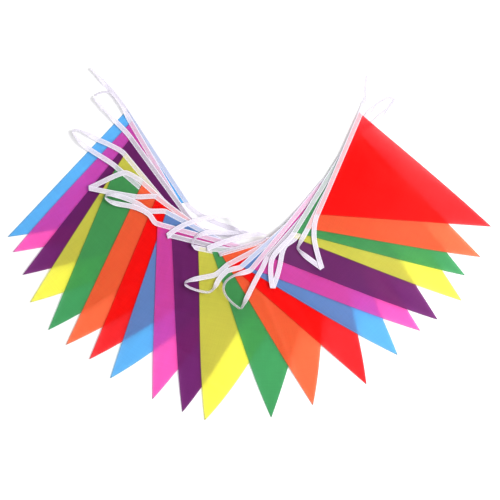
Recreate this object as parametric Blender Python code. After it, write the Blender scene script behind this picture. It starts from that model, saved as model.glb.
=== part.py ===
"""A string of fabric bunting, gathered to and fro into a fan and lying flat on a table.

Twenty-one triangular pennants are sewn along one folded tape. The string is gathered zigzag, so
each pennant is turned over and lies on the one before it, and the tape between two neighbours
makes a loop. X runs across the fan, Y from the pennants' tips to the tape, and Z up from the table.
"""

from math import ceil, cos, radians, sin
from typing import NamedTuple

import bmesh
import bpy
import numpy as np
from mathutils import Matrix

# Sizes of the pieces, in metres
PENNANT_WIDTH = 0.200
PENNANT_HEIGHT = 0.305
CLOTH = 0.0010
TAPE_WIDTH = 0.0090
TAPE_THICKNESS = 0.0010
SEAM_GAP = 0.0003

# How the layers lie on each other, in metres
LAYER = 0.0016
CELL = 0.025
CELLS_X = 20
CELLS_Y = 16
LAYER_REACH = 0.036
LAYER_EASE = 0.080

# How the tape runs, in metres and degrees
SEAM_STEP = 0.0125
STEP = 0.016
TURN_STEP = 24.0
ROLL_STEP = 24.0
ON_EDGE = 64.0            # how far it is rolled where it runs on edge
UPRIGHT = 90.0            # and where it is turned over on its edge
UPRIGHT_RUN = 0.008
TWIST_RUN = 0.030
CLIMB_RUN = 0.030
CREASE_OUT = 0.0010
EASE = 0.35
CURVE_POINTS = 97
FLAT_ENOUGH = 0.35        # the share of its width by which a stretch lying flat may rise

FLATNESS = 0.1            # degrees between faces that count as one flat face
MERGE = 0.0001


class Pennant(NamedTuple):
    """One pennant: the place of its tip, its axis from tip to tape, and its top edge's skew.

    stretch is how much longer than its cut it lies.
    """

    colour: str
    tip_x: float
    tip_y: float
    lean: float
    skew: float
    stretch: float = 0.0


# In the order in which they lie, the lowest first
PENNANTS = (
    Pennant("blue", -0.4371, 0.0126, 28.4, 4.8, 0.0055),
    Pennant("pink", -0.4275, -0.0150, 29.6, 0.6, 0.0023),
    Pennant("purple", -0.4095, -0.0560, 33.4, 2.6, 0.0035),
    Pennant("yellow", -0.3964, -0.1058, 39.2, 0.3, 0.002),
    Pennant("green", -0.3635, -0.1557, 49.3, 0.2, 0.0035),
    Pennant("orange", -0.3316, -0.1826, 46.9, 1.1, 0.0109),
    Pennant("red", -0.2893, -0.2085, 49.3, 4.5, 0.009),
    Pennant("blue", -0.2515, -0.2430, 53.4, 8.7, 0.0168),
    Pennant("pink", -0.1752, -0.2810, 70.2, 4.3, 0.0089),
    Pennant("purple", -0.1210, -0.3039, 75.3, 0.9, 0.0045),
    Pennant("yellow", -0.0806, -0.3188, 73.7, 5.3, 0.004),
    Pennant("green", 0.0395, -0.3144, 91.7, -3.7, 0.0014),
    Pennant("orange", 0.1149, -0.2917, 103.3, 3.2, 0.0101),
    Pennant("red", 0.2117, -0.2540, 121.3, -3.5, 0.0088),
    Pennant("blue", 0.2681, -0.2007, 132.6, -0.5, 0.0075),
    Pennant("pink", 0.3091, -0.1570, 142.0, -1.4, 0.0064),
    Pennant("purple", 0.3402, -0.1366, 141.9, -3.2, 0.0049),
    Pennant("yellow", 0.3840, -0.1026, 141.6, -0.2, 0.0058),
    Pennant("green", 0.3899, -0.0568, 147.7, 0.5, 0.0032),
    Pennant("orange", 0.4180, -0.0236, 152.5, 0.5, 0.0016),
    Pennant("red", 0.4371, 0.0314, 157.7, -0.9, -0.0027),
)

# Linear colour, roughness
FINISHES = {
    "blue": ((0.098, 0.445, 0.939), 0.45),
    "pink": ((0.871, 0.091, 0.521), 0.45),
    "purple": ((0.156, 0.017, 0.156), 0.45),
    "yellow": ((0.956, 0.956, 0.072), 0.45),
    "green": ((0.053, 0.376, 0.091), 0.45),
    "orange": ((1.0, 0.202, 0.072), 0.45),
    "red": ((1.0, 0.038, 0.053), 0.45),
    "white": ((0.84, 0.83, 0.85), 0.60),
}


class Turn(NamedTuple):
    """A place where the tape changes its way, and how it passes it.

    The way is "fold", creased flat and turned over, "stand", turned over on its edge, or "bend",
    curved without turning over. arrive and leave are headings in degrees. ease_in and ease_out say
    how far each heading is held, as shares of the straight distance. stand_in and stand_out are
    the lengths of tape that stand on edge before and after the turn, or None where it is flat.
    level is the layer on which the tape then lies, counted from the pennant before the loop.
    """

    way: str
    x: float
    y: float
    arrive: float
    leave: float
    ease_in: float = EASE
    ease_out: float = EASE
    stand_in: float = None
    stand_out: float = None
    level: int = 1

    def on_edge(self, length):
        """The length on edge beside the turn with the roll at the turn, or None."""
        if length is None:
            return None
        return length, UPRIGHT if self.way == "stand" else ON_EDGE


class Loop(NamedTuple):
    """The tape between two neighbours: its turns, and how far it holds the way of its two ends."""

    turns: tuple
    ease_start: float = 0.2
    ease_end: float = 0.2


# One for each gap between neighbours, in order
LOOPS = (
    Loop((Turn("bend", -0.0675, 0.0415, -25, -25, 0.3, 0.3, level=0),
          Turn("fold", -0.0025, 0.0181, -22, 184)), 0.3, 0.3),
    Loop((Turn("bend", -0.2311, 0.2497, 124, 124, 0.3, 0.3, 0.0, 0.1, 0),
          Turn("bend", -0.2508, 0.2743, 140, 160, 0.3, 0.1, 0.1, 0.1, 0),
          Turn("stand", -0.2808, 0.2647, -115, -60, 0.35, 0.3, 0.1, 0.016),
          Turn("bend", -0.2555, 0.2358, -48, -48, 0.3, 0.3, 0.0, 0.0)), 0.3, 0.3),
    Loop((Turn("fold", -0.0025, -0.0181, -15, 168),), 0.3, 0.3),
    Loop((Turn("bend", -0.2681, 0.1861, 157, 157, 0.3, 0.3, level=0),
          Turn("stand", -0.3184, 0.2053, 192, -74, 0.3, 0.3, 0.017, 0.014)), 0.2, 0.3),
    Loop((Turn("fold", 0.0224, -0.0430, -25, 160),)),
    Loop((Turn("bend", -0.2220, 0.1283, 168, 168, 0.15, 0.15, level=0),
          Turn("fold", -0.2891, 0.1008, 203, -12, 0.35, 0.3),
          Turn("bend", -0.2049, 0.0853, -8, -8, 0.3, 0.3)), 0.3, 0.15),
    Loop((Turn("fold", 0.0875, -0.0980, -40, 144),)),
    Loop((Turn("bend", -0.1796, 0.0596, 169, 169, 0.3, 0.3, level=0),
          Turn("bend", -0.2013, 0.0730, 152, 152, 0.3, 0.3, level=0),
          Turn("stand", -0.2600, 0.0849, -110, -60, 0.2, 0.3, 0.002, 0.002),
          Turn("bend", -0.2135, 0.0681, -12, -12, 0.3, 0.3),
          Turn("bend", -0.1789, 0.0513, -46, -46, 0.3, 0.3)), 0.2, 0.3),
    Loop((Turn("fold", 0.1385, -0.0611, -20, 162),)),
    Loop((Turn("fold", -0.1476, 0.0144, 172, 42, 0.15, 0.35, level=2),
          Turn("bend", -0.1073, 0.0383, 18, 18, 0.3, 0.3, level=2),
          Turn("bend", -0.0401, 0.0513, -14, -14, 0.15, 0.15, level=2),
          Turn("stand", -0.0151, 0.0217, -80, 190, 0.3, 0.3, 0.015, 0.001, 2),
          Turn("bend", -0.0675, 0.0213, 183, 183, level=2),
          Turn("stand", -0.1040, 0.0007, -105, -60, 0.35, 0.35, 0.01, 0.004))),
    Loop((Turn("fold", 0.2214, -0.0331, 5, 168),)),
    Loop((Turn("fold", -0.0755, -0.0080, 178, 24, level=2),
          Turn("stand", 0.0300, 0.0126, -80, -100, 0.15, 0.15, 0.001, 0.1, 2),
          Turn("fold", -0.0538, -0.0184, 215, 16.5, 0.2, 0.2, 0.03))),
    Loop((Turn("fold", 0.2344, 0.0790, 28, 190),)),
    Loop((Turn("bend", -0.0657, -0.0568, 193, 193, 0.3, 0.3, level=0),
          Turn("stand", -0.1167, -0.0712, -90, -60, 0.12, 0.2, 0.002, 0.1),
          Turn("bend", -0.0766, -0.0867, -5, -5, 0.35, 0.35, 0.1, 0.012),
          Turn("bend", -0.0571, -0.0678, 64, 64, 0.4, 0.3),
          Turn("bend", -0.0413, -0.0492, 42, 42, 0.3, 0.3),
          Turn("bend", -0.0332, -0.0463, 22, 22, 0.3, 0.3))),
    Loop((Turn("fold", 0.2145, 0.1610, 43, 218),)),
    Loop((Turn("bend", -0.0287, -0.0573, 207, 207, 0.3, 0.3, 0.0, 0.1, 0),
          Turn("bend", -0.0466, -0.0804, -88, -88, 0.4, 0.3, 0.1, 0.1, 0),
          Turn("stand", -0.0151, -0.1175, -28, 62, 0.25, 0.3, 0.1, 0.002),
          Turn("bend", 0.0210, -0.0475, 59, 59, 0.3, 0.3)), 0.2, 0.3),
    Loop((Turn("fold", 0.2731, 0.1525, 0, 165),), 0.3, 0.5),
    Loop((Turn("bend", 0.0671, -0.0009, 218, 218, 0.3, 0.3, level=0),
          Turn("bend", 0.0571, -0.0253, 262, 262, 0.3, 0.3, level=0),
          Turn("fold", 0.0421, -0.0788, 247, 105, 0.35, 0.3),
          Turn("bend", 0.0394, -0.0325, 80, 80, 0.3, 0.3)), 0.12, 0.35),
    Loop((Turn("bend", 0.2153, 0.2358, 60, 60, 0.3, 0.3, level=0),
          Turn("stand", 0.2626, 0.2627, -26, 240, 0.3, 0.3, 0.04, 0.02),
          Turn("bend", 0.2270, 0.2204, 226, 226, 0.3, 0.3)), 0.2, 0.3),
    Loop((Turn("bend", 0.0871, -0.0078, -80, -75, 0.12, 0.12, 0.0, 0.0, 0),
          Turn("fold", 0.1305, -0.0439, -38, 108, 0.3, 0.3),
          Turn("bend", 0.1171, 0.0072, 98, 98, 0.3, 0.3)), 0.3, 0.3),
)

# Free ends of the tape, both on edge: the place and the heading there
LEFT_TAIL = Turn("bend", -0.2862, 0.3173, -48, -48, ease_out=0.3, stand_out=0.016)
RIGHT_TAIL = Turn("bend", 0.2107, 0.3036, 84, 84, ease_in=0.35, stand_in=0.035)


def smooth(share):
    """A step from 0 to 1 with level ends."""
    held = np.clip(share, 0.0, 1.0)
    return held * held * (3.0 - 2.0 * held)


def heading(degrees):
    """A unit vector in the plane, from a heading in degrees."""
    return np.array([cos(radians(degrees)), sin(radians(degrees))])


def left_of(vector):
    """The vector turned a quarter to the left, in the plane."""
    return np.stack([-vector[..., 1], vector[..., 0]], axis=-1)


class Shape(NamedTuple):
    """Where a pennant lies: its two top corners, its tip and its top edge's direction."""

    left: np.ndarray
    right: np.ndarray
    tip: np.ndarray
    along: np.ndarray
    inward: np.ndarray


def pennant_shape(pennant):
    """Place a pennant's triangle in the plane."""
    tip = np.array([pennant.tip_x, pennant.tip_y])
    along = heading(pennant.lean - 90.0 + pennant.skew)
    middle = tip + (PENNANT_HEIGHT + pennant.stretch) * heading(pennant.lean)
    half = 0.5 * PENNANT_WIDTH * along
    return Shape(middle - half, middle + half, tip, along, -left_of(along))


def distance_to_line(points, line):
    """Distance from each point to an open line of two or more points."""
    nearest = np.full(points.shape[:-1], np.inf)
    for start, end in zip(line[:-1], line[1:]):
        run = end - start
        share = np.clip((points - start) @ run / max(run @ run, 1e-12), 0.0, 1.0)
        gap = points - start - share[..., None] * run
        nearest = np.minimum(nearest, np.hypot(gap[..., 0], gap[..., 1]))
    return nearest


def distance_to_pennant(points, shape):
    """Distance from each point to a pennant's triangle, zero inside it."""
    corners = [shape.left, shape.tip, shape.right, shape.left]
    inside = np.ones(points.shape[:-1], dtype=bool)
    for start, end in zip(corners[:-1], corners[1:]):
        inside &= (points - start) @ left_of(end - start) >= 0.0
    return np.where(inside, 0.0, distance_to_line(points, corners))


class Lie:
    """The height on which a layer lies, held on a square grid and linear on its triangles."""

    def __init__(self):
        """Start with the bare table."""
        self.x = CELL * np.arange(-CELLS_X, CELLS_X + 1)
        self.y = CELL * np.arange(-CELLS_Y, CELLS_Y + 1)
        self.nodes = np.stack(np.meshgrid(self.x, self.y, indexing="ij"), axis=-1)
        self.levels = [np.zeros(self.nodes.shape[:2])]

    def add_layer(self, distance):
        """Raise the next level where this layer lies, easing down to the old one around it."""
        cover = 1.0 - smooth((distance - LAYER_REACH) / LAYER_EASE)
        self.levels.append(self.levels[-1] + LAYER * cover)

    def at(self, points, layer):
        """The height at each point, layer being a number or one for each point."""
        layer = np.broadcast_to(layer, points.shape[:-1])
        low = np.floor(layer).astype(int)
        high = np.minimum(low + 1, len(self.levels) - 1)
        share = layer - low
        return (1.0 - share) * self.level_at(points, low) + share * self.level_at(points, high)

    def level_at(self, points, level):
        """The height at each point in whole levels, from the triangle that the point is in."""
        heights = np.stack(self.levels)
        place = points / CELL + np.array([CELLS_X, CELLS_Y])
        column = np.floor(place[..., 0]).astype(int)
        row = np.floor(place[..., 1]).astype(int)
        u = place[..., 0] - column
        v = place[..., 1] - row
        near = heights[level, column, row]
        far = heights[level, column + 1, row + 1]
        east = heights[level, column + 1, row]
        north = heights[level, column, row + 1]
        below = near + u * (east - near) + v * (far - east)
        above = near + v * (north - near) + u * (far - north)
        return np.where(u >= v, below, above)


class Station(NamedTuple):
    """A cross line of the tape: its centre, its half width in the plane, its rise and its layer."""

    centre: np.ndarray
    across: np.ndarray
    rise: float
    layer: float
    outer: bool = False


def leg_curve(start, start_way, end, end_way, ease_start, ease_end):
    """A smooth curve between two places that holds a heading at each."""
    reach = np.linalg.norm(end - start)
    second = start + ease_start * reach * start_way
    third = end - ease_end * reach * end_way
    t = np.linspace(0.0, 1.0, CURVE_POINTS)[:, None]
    return ((1 - t) ** 3 * start + 3 * t * (1 - t) ** 2 * second
            + 3 * t * t * (1 - t) * third + t ** 3 * end)


def leg_roll(travelled, stands):
    """How far the tape is rolled on edge along a leg, in degrees."""
    roll = np.zeros(len(travelled))
    for distance, stand in ((travelled, stands[0]), (travelled[-1] - travelled, stands[1])):
        if stand is not None:
            length, steepest = stand
            run = max(MERGE, min(TWIST_RUN, travelled[-1] - length))
            roll = np.maximum(roll, ON_EDGE * (1.0 - smooth((distance - length) / run)))
            roll = np.maximum(roll, steepest * (1.0 - smooth(distance / UPRIGHT_RUN)))
    return roll


class Tape:
    """The tape's cross lines, gathered from one free end to the other."""

    def __init__(self):
        """Start with the side on which the pennants hang, seen along the tape."""
        self.side = -1.0
        self.layer = 0.0
        self.stations = []

    def straight(self, start, end):
        """Run straight along a pennant's top edge."""
        count = ceil(np.linalg.norm(end - start) / SEAM_STEP)
        way = (end - start) / np.linalg.norm(end - start)
        across = 0.5 * TAPE_WIDTH * self.side * left_of(way)
        for share in np.linspace(0.0, 1.0, count + 1):
            self.stations.append(Station(start + share * (end - start), across, 0.0, self.layer))

    def leg(self, curve, stands=(None, None), old_layer=None):
        """Run along a curve, with a cross line wherever it has gone, turned or rolled enough.

        stands holds the length on edge and the roll at either end, or None where the tape is
        flat, and old_layer the layer from which it climbs.
        """
        runs = np.diff(curve, axis=0)
        lengths = np.linalg.norm(runs, axis=1)
        travelled = np.concatenate([[0.0], np.cumsum(lengths)])
        angles = np.unwrap(np.arctan2(runs[:, 1], runs[:, 0]))
        turning = np.abs(np.diff(angles, prepend=angles[0]))
        roll = leg_roll(travelled, stands)
        effort = lengths / STEP + turning / radians(TURN_STEP) + np.abs(np.diff(roll)) / ROLL_STEP
        effort = np.concatenate([[0.0], np.cumsum(effort)])
        places = np.linspace(0.0, effort[-1], ceil(effort[-1]) + 1)[1:]
        ways = np.interp(places, 0.5 * (effort[1:] + effort[:-1]), angles)
        travelled_there = np.interp(places, effort, travelled)
        layers = np.full(len(places), self.layer)
        if old_layer is not None:
            layers = old_layer + (self.layer - old_layer) * smooth(travelled_there / CLIMB_RUN)
        rows = zip(np.interp(places, effort, curve[:, 0]), np.interp(places, effort, curve[:, 1]),
                   ways, np.radians(np.interp(places, effort, roll)), layers)
        for x, y, way, angle, layer in rows:
            aside = np.array([-sin(way), cos(way)])
            across = 0.5 * TAPE_WIDTH * self.side * cos(angle) * aside
            self.stations.append(Station(np.array([x, y]), across, sin(angle), layer))

    def crease(self, turn, layer):
        """Fold the tape flat onto itself along a straight crease, and go on in another layer."""
        arrive = heading(turn.arrive)
        out = arrive - heading(turn.leave)
        out = out / np.linalg.norm(out)
        across = 0.5 * TAPE_WIDTH * self.side * left_of(out) / (arrive @ out)
        centre = np.array([turn.x, turn.y])
        self.stations.pop()
        self.stations.append(Station(centre, across, 0.0, self.layer))
        self.stations.append(Station(centre + CREASE_OUT * out, across, 0.0, layer, True))
        self.stations.append(Station(centre, across, 0.0, layer))

    def loop(self, loop, start, start_way, end, end_way):
        """Run from one pennant's corner through the loop's turns to the next pennant's corner."""
        first_layer = self.layer
        ease = loop.ease_start
        stand = None
        old_layer = None
        for turn in loop.turns:
            place = np.array([turn.x, turn.y])
            curve = leg_curve(start, start_way, place, heading(turn.arrive), ease, turn.ease_in)
            self.leg(curve, (stand, turn.on_edge(turn.stand_in)), old_layer)
            layer = first_layer + turn.level
            if turn.way == "fold":
                self.crease(turn, layer)
            if turn.way != "bend":
                self.side = -self.side
            old_layer = self.layer if turn.way == "stand" else None
            stand = turn.on_edge(turn.stand_out)
            self.layer = layer
            start, start_way, ease = place, heading(turn.leave), turn.ease_out
        self.leg(leg_curve(start, start_way, end, end_way, ease, loop.ease_end), (stand, None),
                 old_layer)


def tape_line(shapes):
    """Follow the tape from its left free end, along every pennant and loop, to its right one."""
    tape = Tape()
    inset = 0.5 * TAPE_WIDTH
    seams = [(shape.left + inset * shape.inward, shape.right + inset * shape.inward, shape.along)
             for shape in shapes]
    seams = [seam if index % 2 == 0 else (seam[1], seam[0], -seam[2])
             for index, seam in enumerate(seams)]
    first, last = seams[0], seams[-1]
    start = np.array([LEFT_TAIL.x, LEFT_TAIL.y])
    way = heading(LEFT_TAIL.leave)
    lean = radians(ON_EDGE)
    across = 0.5 * TAPE_WIDTH * tape.side * cos(lean) * left_of(way)
    tape.stations.append(Station(start, across, sin(lean), 0.0))
    tape.leg(leg_curve(start, way, first[0], first[2], LEFT_TAIL.ease_out, EASE),
             (LEFT_TAIL.on_edge(LEFT_TAIL.stand_out), None))
    for index, (begin, end, along) in enumerate(seams):
        tape.stations.pop()
        tape.straight(begin, end)
        if index < len(LOOPS):
            following = seams[index + 1]
            tape.loop(LOOPS[index], end, along, following[0], following[2])
    end = np.array([RIGHT_TAIL.x, RIGHT_TAIL.y])
    tape.leg(leg_curve(last[1], last[2], end, heading(RIGHT_TAIL.arrive), EASE,
                       RIGHT_TAIL.ease_in), (None, RIGHT_TAIL.on_edge(RIGHT_TAIL.stand_in)))
    return tape.stations


def layer_lines(stations, layer):
    """The stretches of tape that lie flat in a layer, as lines in the plane."""
    lines = []
    line = []
    for station in stations:
        if round(station.layer) == layer and station.rise < FLAT_ENOUGH:
            line.append(station.centre)
        elif line:
            lines.append(np.array(line))
            line = []
    if line:
        lines.append(np.array(line))
    return [line for line in lines if len(line) > 1]


def pile_up(shapes, stations):
    """Work out the height on which each layer lies, from all that lies below it."""
    lie = Lie()
    for layer, shape in enumerate(shapes):
        distance = distance_to_pennant(lie.nodes, shape)
        for line in layer_lines(stations, layer):
            distance = np.minimum(distance, distance_to_line(lie.nodes, line) - 0.5 * TAPE_WIDTH)
        lie.add_layer(distance)
    return lie


def make_material(name):
    """A plain material of a named colour."""
    colour, roughness = FINISHES[name]
    material = bpy.data.materials.new(name)
    material.use_nodes = True
    shader = material.node_tree.nodes["Principled BSDF"]
    shader.inputs["Base Color"].default_value = (*colour, 1.0)
    shader.inputs["Roughness"].default_value = roughness
    shader.inputs["Metallic"].default_value = 0.0
    material.diffuse_color = (*colour, 1.0)
    return material


def add_object(name, mesh, material, collection):
    """Link a mesh as a named object with one material."""
    mesh.materials.append(material)
    item = bpy.data.objects.new(name, mesh)
    collection.objects.link(item)
    return item


def cloth_sheet(shape, lie, layer):
    """A pennant's lower face: the grid's cells under it, laid on the heap and cut to its edges."""
    corners = np.stack([shape.left, shape.right, shape.tip])
    low = np.floor(corners.min(axis=0) / CELL).astype(int)
    count = np.ceil(corners.max(axis=0) / CELL).astype(int) - low
    place = Matrix.Translation((*(CELL * (low + 0.5 * count)), 0.0))
    size = Matrix.Diagonal((CELL * count[0], CELL * count[1], 1.0, 1.0))
    sheet = bmesh.new()
    bmesh.ops.create_grid(sheet, x_segments=int(count[0]), y_segments=int(count[1]), size=0.5,
                          matrix=place @ size)
    bmesh.ops.triangulate(sheet, faces=sheet.faces[:], quad_method="FIXED")
    for vertex in sheet.verts:
        column = round(vertex.co.x / CELL) + CELLS_X
        row = round(vertex.co.y / CELL) + CELLS_Y
        vertex.co.z = lie.levels[layer][column, row]
    top = TAPE_WIDTH + SEAM_GAP
    cuts = [
        (shape.left + top * shape.inward, -shape.inward),
        (shape.left, -left_of(shape.tip - shape.left)),
        (shape.right, left_of(shape.tip - shape.right)),
    ]
    for point, outward in cuts:
        bmesh.ops.bisect_plane(sheet, geom=sheet.verts[:] + sheet.edges[:] + sheet.faces[:],
                               plane_co=(*point, 0.0), plane_no=(*outward, 0.0), dist=1e-6,
                               clear_outer=True)
    bmesh.ops.remove_doubles(sheet, verts=sheet.verts, dist=MERGE)
    bmesh.ops.dissolve_limit(sheet, angle_limit=radians(FLATNESS), use_dissolve_boundaries=False,
                             verts=sheet.verts[:], edges=sheet.edges[:])
    return sheet


def make_pennant(index, pennant, shape, lie, material, collection):
    """One pennant: its lower face, given the cloth's thickness."""
    sheet = cloth_sheet(shape, lie, index)
    raised = bmesh.ops.extrude_face_region(sheet, geom=sheet.faces[:], use_keep_orig=True)
    top = [item for item in raised["geom"] if isinstance(item, bmesh.types.BMVert)]
    bmesh.ops.translate(sheet, verts=top, vec=(0.0, 0.0, CLOTH))
    bmesh.ops.recalc_face_normals(sheet, faces=sheet.faces)
    mesh = bpy.data.meshes.new(f"pennant_{index + 1:02d}_{pennant.colour}")
    sheet.to_mesh(mesh)
    sheet.free()
    return add_object(mesh.name, mesh, material, collection)


def tape_edges(stations, lie):
    """The tape's middle surface: the place of both edges at every cross line."""
    centre = np.array([station.centre for station in stations])
    across = np.array([station.across for station in stations])
    rise = np.array([station.rise for station in stations])
    layer = np.array([station.layer for station in stations])
    edges = []
    for side in (1.0, -1.0):
        plan = centre + side * across
        height = lie.at(plan, layer) + 0.5 * TAPE_THICKNESS
        height += 0.5 * TAPE_WIDTH * rise * (1.0 + side)
        edges.append(np.column_stack([plan, height]))
    for index, station in enumerate(stations):
        if station.outer:
            for edge in edges:
                edge[index, 2] = 0.5 * (edge[index - 1, 2] + edge[index + 1, 2])
    return edges


def make_tape(stations, lie, material, collection):
    """The whole tape as one strip, a rectangle carried along its cross lines."""
    flag_edge, fold_edge = tape_edges(stations, lie)
    centre = 0.5 * (flag_edge + fold_edge)
    half = 0.5 * (flag_edge - fold_edge)
    runs = np.diff(centre, axis=0)
    runs /= np.linalg.norm(runs, axis=1)[:, None]
    way = np.concatenate([runs[:1], runs]) + np.concatenate([runs, runs[-1:]])
    face = np.cross(way, half)
    face *= 0.5 * TAPE_THICKNESS / np.linalg.norm(face, axis=1)[:, None]
    rings = np.stack([centre + half + face, centre - half + face,
                      centre - half - face, centre + half - face], axis=1)
    strip = bmesh.new()
    loops = [[strip.verts.new(corner) for corner in ring] for ring in rings]
    for ring, following in zip(loops[:-1], loops[1:]):
        for corner, after in ((0, 1), (1, 2), (3, 2), (0, 3)):
            strip.faces.new((ring[corner], ring[after], following[after]))
            strip.faces.new((ring[corner], following[after], following[corner]))
    strip.faces.new(loops[0])
    strip.faces.new(loops[-1])
    bmesh.ops.recalc_face_normals(strip, faces=strip.faces)
    mesh = bpy.data.meshes.new("tape")
    strip.to_mesh(mesh)
    strip.free()
    return add_object("tape", mesh, material, collection)


def main():
    """Clear the scene and build the string of bunting."""
    for item in list(bpy.data.objects):
        bpy.data.objects.remove(item, do_unlink=True)
    collection = bpy.data.collections.new("fabric_bunting")
    bpy.context.scene.collection.children.link(collection)
    materials = {name: make_material(name) for name in FINISHES}
    shapes = [pennant_shape(pennant) for pennant in PENNANTS]
    stations = tape_line(shapes)
    lie = pile_up(shapes, stations)
    for index, (pennant, shape) in enumerate(zip(PENNANTS, shapes)):
        make_pennant(index, pennant, shape, lie, materials[pennant.colour], collection)
    make_tape(stations, lie, materials["white"], collection)


main()
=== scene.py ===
"""A gathered string of fabric bunting: thin satin pennants sewn into a folded white tape.

The string lies to and fro on a pale table as a fan, the first pennant lowest. X runs across the
fan, Y from the pennants' tips to the tape and Z up from the table. Lengths are in metres and
angles in degrees.
"""

import logging
from dataclasses import dataclass, field
from enum import Enum
from math import ceil, cos, hypot, pi, radians, sin, sqrt

import bpy
import numpy as np
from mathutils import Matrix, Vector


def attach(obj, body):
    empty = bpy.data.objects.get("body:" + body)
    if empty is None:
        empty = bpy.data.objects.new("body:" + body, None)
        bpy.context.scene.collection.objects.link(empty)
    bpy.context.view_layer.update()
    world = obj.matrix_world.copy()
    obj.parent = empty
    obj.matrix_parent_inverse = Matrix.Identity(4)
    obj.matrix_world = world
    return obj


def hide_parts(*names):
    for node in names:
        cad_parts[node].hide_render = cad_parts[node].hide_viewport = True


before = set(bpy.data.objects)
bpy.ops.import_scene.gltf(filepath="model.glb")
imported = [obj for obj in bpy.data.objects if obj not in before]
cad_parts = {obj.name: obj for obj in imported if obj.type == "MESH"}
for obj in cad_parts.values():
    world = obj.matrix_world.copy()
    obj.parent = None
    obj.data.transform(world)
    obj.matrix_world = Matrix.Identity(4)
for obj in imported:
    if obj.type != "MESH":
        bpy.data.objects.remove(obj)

LOG = logging.getLogger("bunting")
SHARP = radians(50.0)              # an edge that turns by more looks sharp
ON_EDGE, UPRIGHT = 64.0, 90.0      # the tape's roll where it runs on edge, and is turned over
RISE, LAYER, FULL = 4, 5, 6        # the last columns of the tape's cross lines
BOW_PEAK = 27.0 / 4.0              # 1 over the most that t squared times 1 - t reaches
TINY = 1e-12                       # keeps a division by nothing finite
Array = np.ndarray
Material = bpy.types.Material
Piece = bpy.types.Object
Socket = bpy.types.NodeSocket
Tree = bpy.types.NodeTree
Colour = tuple[float, float, float]
Stand = tuple[float, float] | None


class Dye(Enum):
    """The colours of the pennants, by the name of their material slot."""

    BLUE = "blue"
    PINK = "pink"
    PURPLE = "purple"
    YELLOW = "yellow"
    GREEN = "green"
    ORANGE = "orange"
    RED = "red"


class Way(Enum):
    """How the tape passes a turn: creased flat, turned over on its edge, or only curved."""

    FOLD = "fold"
    STAND = "stand"
    BEND = "bend"


@dataclass(frozen=True)
class Lay:
    """How one pennant lies: its tip, its axis from tip to tape and its top edge's skew.

    stretch is how much longer than its cut it lies, and the bows how far its two sloping edges
    bulge, most at a third of their length from the tip.
    """

    dye: Dye
    tip_x: float
    tip_y: float
    lean: float
    skew: float
    stretch: float = 0.0
    left_bow: float = 0.0
    right_bow: float = 0.0


@dataclass(frozen=True)
class Turn:
    """A place where the tape changes its way.

    arrive and leave are headings, and ease_in and ease_out the shares of the straight distance
    for which they are held. stand_in and stand_out are the lengths on edge before and after, or
    None where the tape is flat. level is its layer, counted from the pennant before the loop.
    """

    way: Way
    x: float
    y: float
    arrive: float
    leave: float
    ease_in: float = 0.35
    ease_out: float = 0.35
    stand_in: float | None = None
    stand_out: float | None = None
    level: int = 1

    def on_edge(self, length: float | None) -> Stand:
        """Give a length on edge beside the turn with the roll at the turn.

        Args:
            length: The length, or None where the tape is flat.

        Returns:
            Both, or None where it is flat.
        """
        if length is None:
            return None
        return length, UPRIGHT if self.way is Way.STAND else ON_EDGE


@dataclass(frozen=True)
class Loop:
    """The tape between two neighbours: its turns, and the ease at its two ends."""

    turns: tuple[Turn, ...]
    ease_start: float = 0.2
    ease_end: float = 0.2


# The pennants in their order on the string, the lowest first
LAYS = (
    Lay(Dye.BLUE, -0.4371, 0.0126, 28.4, 4.8, 0.0055, 0.0, 0.0031),
    Lay(Dye.PINK, -0.4275, -0.0150, 29.6, 0.6, 0.0023, 0.0022, 0.0022),
    Lay(Dye.PURPLE, -0.4095, -0.0560, 33.4, 2.6, 0.0035, 0.0014, 0.0027),
    Lay(Dye.YELLOW, -0.3964, -0.1058, 39.2, 0.3, 0.002, 0.0007, 0.0056),
    Lay(Dye.GREEN, -0.3635, -0.1557, 49.3, 0.2, 0.0035, 0.0, 0.0045),
    Lay(Dye.ORANGE, -0.3316, -0.1826, 46.9, 1.1, 0.0109, 0.0, 0.0043),
    Lay(Dye.RED, -0.2893, -0.2085, 49.3, 4.5, 0.009, 0.0, 0.0051),
    Lay(Dye.BLUE, -0.2515, -0.2430, 53.4, 8.7, 0.0168, 0.0005, 0.0069),
    Lay(Dye.PINK, -0.1752, -0.2810, 70.2, 4.3, 0.0089, 0.0014, 0.0042),
    Lay(Dye.PURPLE, -0.1210, -0.3039, 75.3, 0.9, 0.0045, 0.0031, 0.006),
    Lay(Dye.YELLOW, -0.0806, -0.3188, 73.7, 5.3, 0.004, 0.0034, 0.0087),
    Lay(Dye.GREEN, 0.0395, -0.3144, 91.7, -3.7, 0.0014, 0.0038, 0.0027),
    Lay(Dye.ORANGE, 0.1149, -0.2917, 103.3, 3.2, 0.0101, 0.0011, 0.0063),
    Lay(Dye.RED, 0.2117, -0.2540, 121.3, -3.5, 0.0088, 0.0, 0.0056),
    Lay(Dye.BLUE, 0.2681, -0.2007, 132.6, -0.5, 0.0075, 0.0031, 0.0031),
    Lay(Dye.PINK, 0.3091, -0.1570, 142.0, -1.4, 0.0064, 0.0025, 0.0022),
    Lay(Dye.PURPLE, 0.3402, -0.1366, 141.9, -3.2, 0.0049, 0.0023, 0.0016),
    Lay(Dye.YELLOW, 0.3840, -0.1026, 141.6, -0.2, 0.0058, 0.002, 0.0009),
    Lay(Dye.GREEN, 0.3899, -0.0568, 147.7, 0.5, 0.0032, 0.0016, 0.0011),
    Lay(Dye.ORANGE, 0.4180, -0.0236, 152.5, 0.5, 0.0016, 0.0018, 0.0002),
    Lay(Dye.RED, 0.4371, 0.0314, 157.7, -0.9, -0.0027, 0.0, 0.0018),
)

FOLD, STAND, BEND = Way.FOLD, Way.STAND, Way.BEND

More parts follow.
